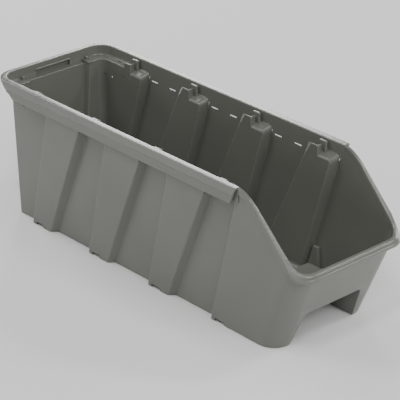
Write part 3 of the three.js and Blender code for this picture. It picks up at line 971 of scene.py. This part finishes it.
def rail_profile():
    """The rail's hollow section: up the inner face, over the top, down the stepped side and back inside."""
    lower = HALF_WIDTH - RAIL_STEP
    ceiling = HEIGHT - RAIL_TOP_WALL
    profile = [(RAIL_ROOT, ceiling), (collar_inner_x(ceiling), ceiling)]
    profile += eased(collar_inner_x(HEIGHT), HEIGHT, DOWN, OUT, TOP_IN)
    profile += eased(HALF_WIDTH, HEIGHT, IN, DOWN, TOP_OUT)
    profile += [(HALF_WIDTH, RAIL_MID + 2 * RAIL_BEND), (HALF_WIDTH - RAIL_BEND, RAIL_MID - RAIL_BEND)]
    profile += [(lower + RAIL_BEND, RAIL_MID - RAIL_STEP), (lower, RAIL_MID - RAIL_STEP - 3 * RAIL_BEND)]
    profile += eased(lower, RAIL_LOW, UP, IN, LOW_OUT)
    return profile + [(lower - RAIL_SKIN, RAIL_LOW), (lower - RAIL_SKIN, ceiling)]


def rail_cutters(side):
    """What slants the rail's front end off, and its rear end away below the rear rim."""
    low, high = RAIL_LOW - OVERLAP, HEIGHT + REACH
    start = RAIL_FRONT - CUT_GAP
    front = [(start, high), (start, HEIGHT - RAIL_END_LIP), (RAIL_FRONT + RAIL_END_SLANT, low),
             (RAIL_FRONT - REACH, low), (RAIL_FRONT - REACH, high)]
    top, far = HEIGHT - REAR_RIM_HEIGHT, HALF_LENGTH + REACH
    rear = [(RAIL_REAR + CUT_GAP, top), (RAIL_REAR - RAIL_REAR_SLANT, low), (far, low), (far, top)]
    near, out = HALF_WIDTH - REACH, HALF_WIDTH + REACH
    return [make_prism("cutter", outline, near, out, along_x, side) for outline in (front, rear)]


def build_rail(hand, side):
    piece = make_prism(f"{hand}_stacking_rail_skin", rail_profile(), RAIL_FRONT, RAIL_TURN, along_y, side)
    cut(piece, rail_cutters(side))
    finish_piece(piece, [f"{hand}_stacking_rail"], "rim", RIM_SMOOTH_ANGLE)


def rear_path(z):
    """Pairs (inner, outer) round the right rear corner, from the end of the rail to the rear."""
    inner_r = COLLAR_CORNER - COLLAR_WALL
    inner_centre = Vector((collar_inner_x(z) - inner_r, COLLAR_REAR - COLLAR_CORNER))
    outer_centre = Vector((HALF_WIDTH - REAR_RIM_CORNER, HALF_LENGTH - REAR_RIM_CORNER))
    pairs = []
    for i in range(REAR_CORNER_STEPS + 1):
        a = math.pi / 2 * i / REAR_CORNER_STEPS
        way = Vector((math.cos(a), math.sin(a)))
        pairs.append((inner_centre + inner_r * way, outer_centre + REAR_RIM_CORNER * way))
    return pairs


def rear_rim_row(inner, outer):
    """A section of the rear rim, deeper where it takes over from the rail."""
    way = (outer - inner).normalized()
    drop = (RAIL_REAR - outer.y) * (HEIGHT - REAR_RIM_HEIGHT - RAIL_LOW + OVERLAP) / RAIL_REAR_SLANT
    low = HEIGHT - REAR_RIM_HEIGHT - max(drop, 0)
    near = [(REAR_RIM_ROOT, COLLAR_TOP), (0, COLLAR_TOP)] + eased(0, HEIGHT, DOWN, OUT, TOP_IN)
    far = eased(0, HEIGHT, IN, DOWN, TOP_OUT) + eased(0, low, UP, IN, LOW_OUT)
    entries = [(inner, d, z) for d, z in near] + [(outer, d, z) for d, z in far]
    entries.append((inner, REAR_RIM_ROOT_LOW, low))
    return [(p.x + way.x * d, p.y + way.y * d, z) for p, d, z in entries]


def build_rear_rim():
    right = [rear_rim_row(inner, outer) for inner, outer in rear_path(HEIGHT)]
    piece = make_rows("rear_rim_bead", right + mirrored(right))
    finish_piece(piece, ["rear_rim"], "rim", RIM_SMOOTH_ANGLE)


# ---- collar and hand slot ----
def collar_row(inner, outer, foot):
    """A section of the collar; foot is the size of the fillet on the ledge."""
    way = (outer - inner).normalized()
    if foot:
        entries = [(-foot * a, CORNER_LEDGE + foot * b) for a, b in FILLET]
    else:
        entries = [(0, z) for z in COLLAR_PLAIN_ROWS]
    points = []
    for depth, z in entries + [(0, COLLAR_TOP)]:
        lean = (collar_inner_x(z) - collar_inner_x(HEIGHT)) * abs(way.x)
        place = inner + way * (depth + lean)
        points.append((place.x, place.y, z))
    skin = inner + way * COLLAR_WALL
    points += [(skin.x, skin.y, COLLAR_TOP), (skin.x, skin.y, PANEL_TOP)]
    foot_place = inner - way * (foot + COLLAR_BACKSET * abs(way.x))
    points.append((foot_place.x, foot_place.y, PANEL_TOP))
    return points


def build_collar():
    """The plain band above the seats and ledges, from one rail's front end round to the other's."""
    inner, outer = rear_path(HEIGHT)[0]
    right = []
    for y, foot in ((RAIL_FRONT, 0), (LEDGE_FRONT, 0), (LEDGE_FRONT + COLLAR_JUMP, LEDGE_FOOT)):
        right.append(collar_row(Vector((inner.x, y)), Vector((outer.x, y)), foot))
    right += [collar_row(a, b, LEDGE_FOOT) for a, b in rear_path(HEIGHT)]
    piece = make_rows("collar_band", right + mirrored(right))
    near, far = HALF_LENGTH - REACH, HALF_LENGTH + REACH
    grip = make_box((-GRIP_HALF_WIDTH, near, GRIP_LOW), (GRIP_HALF_WIDTH, far, GRIP_HIGH))
    back = COLLAR_REAR - COLLAR_WALL - COLLAR_CUT
    low = HEIGHT - REACH
    ledge_room = make_box((-LEDGE_STEP_X, near, low), (LEDGE_STEP_X, back, CORNER_LEDGE + LEDGE_FOOT))
    cut(piece, [grip, ledge_room])
    finish_piece(piece, ["left_collar", "right_collar", "rear_collar"], "shell")


def build_grip_lip():
    """The plate behind the hand slot."""
    piece = rounded_box("rear_grip_lip_plate", GRIP_LIP_LOW, GRIP_LIP_HIGH, GRIP_LIP_SOFT)
    finish_piece(piece, ["rear_grip_lip"], "rim")


def build_grip_bead():
    """The rounded bead along the upper edge of the hand slot."""
    centre_y, centre_z = COLLAR_REAR - COLLAR_WALL + GRIP_BEAD_OUT, GRIP_HIGH + GRIP_BEAD_UP
    angles = [2 * math.pi * i / GRIP_BEAD_STEPS for i in range(GRIP_BEAD_STEPS)]
    profile = [(centre_y + GRIP_BEAD * math.cos(a), centre_z + GRIP_BEAD * math.sin(a)) for a in angles]
    bead = make_prism("rear_grip_bead", profile, -GRIP_HALF_WIDTH, GRIP_HALF_WIDTH, along_x)
    finish_piece(bead, ["rear_collar"], "shell")


# ---- ledges ----
def corner_ledge_outline():
    """From the ledge's front end along the wall's inner face, then back inside the collar."""
    z = CORNER_LEDGE
    outline = [(rib_x(z) - WALL, LEDGE_FRONT)]
    rear = rear_corner_y(z) - WALL + HAIR / 2
    for i in range(ROOM.count()):
        p = ROOM.point(i, WALL, z)
        if LEDGE_FRONT < p.y < rear and p.x > LEDGE_STEP_X + LEDGE_STEP_MARGIN:
            outline.append((p.x, p.y))
    outline += [(LEDGE_STEP_X, outline[-1][1]), (LEDGE_STEP_X, COLLAR_REAR - OVERLAP)]
    outer = [pair[0] + (pair[1] - pair[0]).normalized() for pair in rear_path(z)]
    outline += [(p.x, p.y) for p in reversed(outer)]
    return outline + [(outer[0].x, LEDGE_FRONT)]


def build_corner_ledge(hand, side):
    outline = corner_ledge_outline()
    top = CORNER_LEDGE
    piece = make_prism(f"{hand}_corner_ledge_top", outline, top - WALL, top, along_z, side)
    low = (DRAIN_X[0], DRAIN_Y - DRAIN_LENGTH / 2, top - REACH)
    cut(piece, [make_box(low, (DRAIN_X[1], DRAIN_Y + DRAIN_LENGTH / 2, top + REACH), side)])
    soften(piece, LEDGE_SOFT)
    finish_piece(piece, [f"{hand}_corner_ledge"], "rim")


def build_rear_ledge():
    front = rear_corner_y(REAR_LEDGE_LEVEL) + REAR_PANEL_DEPTH - WALL
    half = LEDGE_STEP_X - LEDGE_GAP
    low, high = (-half, front, REAR_LEDGE - WALL), (half, COLLAR_REAR - REAR_LEDGE_BACK, REAR_LEDGE)
    piece = rounded_box("rear_ledge_top", low, high, LEDGE_SOFT)
    finish_piece(piece, ["rear_ledge"], "shell")


# ---- seats ----
def seat_corners(k, z, depth=WALL + HAIR):
    """Where the rib's inner face and its two steps turn, at a depth inside the wall's outer face."""
    out, inn, front = panel_x(z), rib_x(z), panel_rear(k, z)
    rear = panel_front(k - 1, z) - PANEL_STEP_FRONT if k else LEDGE_FRONT + SEAT_END
    chain = [(out, front - STEM), (out, front), (inn, front + PANEL_STEP_REAR), (inn, rear)]
    if k:
        chain += [(out, panel_front(k - 1, z)), (out, panel_front(k - 1, z) + STEM)]
    inner = offset_chain([Vector(point) for point in chain], depth)
    front_out, front_in, rear_in = inner[1:4]
    rear_out = inner[4] if k else Vector((front_out.x, rear_in.y))
    return front_out, front_in, rear_in, rear_out


def rib_hollow(k, side):
    """The hollow behind a rib, seen from outside the bin, up to the underside of its seat."""
    rows = []
    for z in (SEAT_FOOT - HOLLOW_BELOW, SEAT_TOP - WALL):
        front_out, front_in, rear_in, rear_out = seat_corners(k, z, 0)
        spread = HOLLOW_REAR_SPREAD
        if not k:
            rear_in = Vector((rear_in.x, rear_in.y + STEM))
            rear_out = Vector((front_out.x, rear_in.y))
            spread = 0
        rows.append([(front_out.x + STEM, front_out.y - HOLLOW_FRONT_SPREAD, z), (*front_in, z),
                     (*rear_in, z), (rear_out.x + STEM, rear_out.y + spread, z)])
    return make_rows("cutter", rows, side)


def round_seat(piece):
    """A wide round along the front of the seat and narrower ones along its inner edges."""
    work = bmesh.new()
    work.from_mesh(piece.data)
    weights = work.edges.layers.float.new("bevel_weight_edge")
    near = MM / 10
    top = SEAT_TOP * MM - near
    front = min(v.co.y for v in work.verts if v.co.z > top)
    inside = min(abs(v.co.x) for v in work.verts) + WALL * MM
    for e in work.edges:
        a, b = e.verts[0].co, e.verts[1].co
        if max(a.z, b.z) < top:
            continue
        across = abs(abs(a.x) - abs(b.x)) > PANEL_STEP_REAR * MM
        upright = abs(a.z - b.z) > 2 * SEAT_SLOPE * MM
        if across and min(a.y, b.y) < front + near:
            e[weights] = 1
        elif max(abs(a.x), abs(b.x)) < inside:
            e[weights] = SEAT_SIDE_ROUND / SEAT_ROUND if upright else SEAT_EDGE_SHARE
    work.to_mesh(piece.data)
    work.free()
    bevel = piece.modifiers.new("soft_edges", "BEVEL")
    bevel.width = SEAT_ROUND * MM
    bevel.segments = SEAT_ROUND_STEPS
    bevel.limit_method = "WEIGHT"
    apply_modifiers(piece)


def build_seat(hand, side, k):
    """The top of a rib: a sloping seat with a well rounded front edge."""
    rows = []
    for z, raised in ((SEAT_FOOT, SEAT_FOOT), (SEAT_TOP, SEAT_TOP + SEAT_SLOPE)):
        front_out, front_in, rear_in, rear_out = seat_corners(k, z)
        rows.append([(front_out.x + SEAT_SIDE_OVERLAP, front_out.y - SEAT_END_OVERLAP, raised),
                     (*front_in, z), (*rear_in, z),
                     (rear_out.x + SEAT_SIDE_OVERLAP, rear_out.y + SEAT_END_OVERLAP, raised)])
    piece = make_rows(f"{hand}_seat_{k}_top", rows, side)
    round_seat(piece)
    cut(piece, [rib_hollow(k, side)])
    finish_piece(piece, [f"{hand}_seat_{k}"], "rim", SEAT_SMOOTH_ANGLE)


def build_seat_lip(hand, side, k):
    """The raised lip behind a seat, with a pocket between it and the collar."""
    shift = PITCH * k
    low = SEAT_TOP - LIP_BELOW
    reach, top = LEDGE_FRONT, LEDGE_FRONT
    if k:
        rise = (LIP_TOP - SEAT_TOP) / (CHAMFER_FOOT - STEP_REAR)
        reach, top = CHAMFER_FOOT + LIP_BELOW / rise, STEP_REAR
    profile = [(RISER, low), (reach, low), (top, LIP_TOP), (RISER, LIP_TOP)]
    profile = [(y - shift, z) for y, z in profile]
    piece = make_prism(f"{hand}_seat_{k}_lip", profile, SEAT_INNER, SEAT_OUTER, along_x, side)
    pocket_low = (SEAT_INNER + LIP_WALL, RISER + LIP_WALL - shift, POCKET_FLOOR)
    cut(piece, [make_box(pocket_low, (HALF_WIDTH + REACH, RISER + REACH - shift, HEIGHT + REACH), side)])
    soften(piece, LIP_SOFT, LIP_SOFT_ANGLE)
    finish_piece(piece, [f"{hand}_seat_{k}"], "rim")


# ---- lugs and pads ----
def build_lug(hand, side, k):
    front, rear = (y - PITCH * k for y in LUG_Y)
    low, high = (LUG_X[0], front, SEAT_TOP), (LUG_X[1], rear, LUG_TOP)
    piece = rounded_box(f"{hand}_lug_{k}_post", low, high, LUG_SOFT, side)
    finish_piece(piece, [f"{hand}_lug_{k}"], "rim")


def build_rear_lug(hand, side):
    piece = rounded_box(f"{hand}_rear_lug_post", REAR_LUG_LOW, REAR_LUG_HIGH, REAR_LUG_SOFT, side)
    finish_piece(piece, [f"{hand}_rear_lug"], "rim")


def build_pad(hand, side):
    rows = []
    for z, front in ((FLOOR_TOP - OVERLAP, PAD_FOOT), (PAD_TOP, PAD_FRONT)):
        x = panel_x(z) - WALL
        rear = panel_rear(PANEL_COUNT - 1, z) - PAD_TO_STEP
        rows.append([(x + PAD_OVERLAP, front, z), (x + PAD_OVERLAP, rear, z),
                     (x - PAD_DEPTH, rear, z), (x - PAD_DEPTH, front, z)])
    piece = make_rows(f"{hand}_base_pad_block", rows, side)
    soften(piece, PAD_SOFT)
    finish_piece(piece, [f"{hand}_base_pad"], "base")


# ---- assembly ----
def build_side(hand, side):
    build_fin(hand, side)
    build_rail(hand, side)
    build_corner_ledge(hand, side)
    build_rear_lug(hand, side)
    build_pad(hand, side)
    for k in range(PANEL_COUNT):
        build_seat(hand, side, k)
        build_seat_lip(hand, side, k)
        build_lug(hand, side, k)


build_walls()
build_tunnel()
build_floor()
build_rim()
build_collar()
build_rear_rim()
build_rear_ledge()
build_grip_lip()
build_grip_bead()
build_side("left", -1)
build_side("right", 1)


# ---- studio floor, light and camera ----
def build_stage():
    row = STAGE_STEPS + 1
    places = [STAGE_REACH * (2 * i / STAGE_STEPS - 1) for i in range(row)]
    points = [(x, y, -STAGE_DROP) for x in places for y in places]
    faces = [(i * row + j, (i + 1) * row + j, (i + 1) * row + j + 1, i * row + j + 1)
             for i in range(STAGE_STEPS) for j in range(STAGE_STEPS)]
    mesh = bpy.data.meshes.new("studio_floor")
    mesh.from_pydata(points, [], faces)
    floor = bpy.data.objects.new("studio_floor", mesh)
    bpy.context.scene.collection.objects.link(floor)
    material = bpy.data.materials.new("pale_floor")
    material.use_nodes = True
    shader = material.node_tree.nodes["Principled BSDF"]
    shader.inputs["Base Color"].default_value = STAGE_COLOUR
    shader.inputs["Roughness"].default_value = STAGE_ROUGHNESS
    shader.inputs["Specular IOR Level"].default_value = STAGE_SPECULAR
    mesh.materials.append(material)


def build_lamp(name, azimuth, elevation, power, size):
    """A round soft lamp that points at the bin."""
    around, height = math.radians(azimuth), math.radians(elevation)
    level = Vector((math.cos(around), math.sin(around), 0)) * math.cos(height)
    way = level + Vector((0, 0, math.sin(height)))
    data = bpy.data.lights.new(name, "AREA")
    data.shape = "DISK"
    data.size = size
    data.energy = power
    lamp = bpy.data.objects.new(name, data)
    lamp.location = Vector(LAMP_TARGET) + way * LAMP_DISTANCE
    lamp.rotation_euler = (-way).to_track_quat("-Z", "Y").to_euler()
    bpy.context.scene.collection.objects.link(lamp)


def build_light():
    world = bpy.data.worlds.new("studio_air")
    world.use_nodes = True
    background = world.node_tree.nodes["Background"]
    background.inputs["Color"].default_value = (1, 1, 1, 1)
    background.inputs["Strength"].default_value = AIR
    bpy.context.scene.world = world
    for name, settings in LAMPS.items():
        build_lamp(name, *settings)


def build_camera():
    azimuth, elevation = math.radians(CAMERA_AZIMUTH), math.radians(CAMERA_ELEVATION)
    roll = math.radians(CAMERA_ROLL)
    level = Vector((math.sin(azimuth), -math.cos(azimuth), 0)) * math.cos(elevation)
    back = level + Vector((0, 0, math.sin(elevation)))
    right = Vector((math.cos(azimuth), math.sin(azimuth), 0))
    up = back.cross(right)
    rolled_right = right * math.cos(roll) + up * math.sin(roll)
    rolled_up = up * math.cos(roll) - right * math.sin(roll)
    data = bpy.data.cameras.new("photo_view")
    data.lens = CAMERA_LENS
    data.sensor_width = CAMERA_SENSOR
    camera = bpy.data.objects.new("photo_view", data)
    turn = Matrix((rolled_right, rolled_up, back)).transposed().to_4x4()
    camera.matrix_world = Matrix.Translation(CAMERA_PLACE) @ turn
    bpy.context.scene.collection.objects.link(camera)
    bpy.context.scene.camera = camera


build_stage()
build_light()
build_camera()
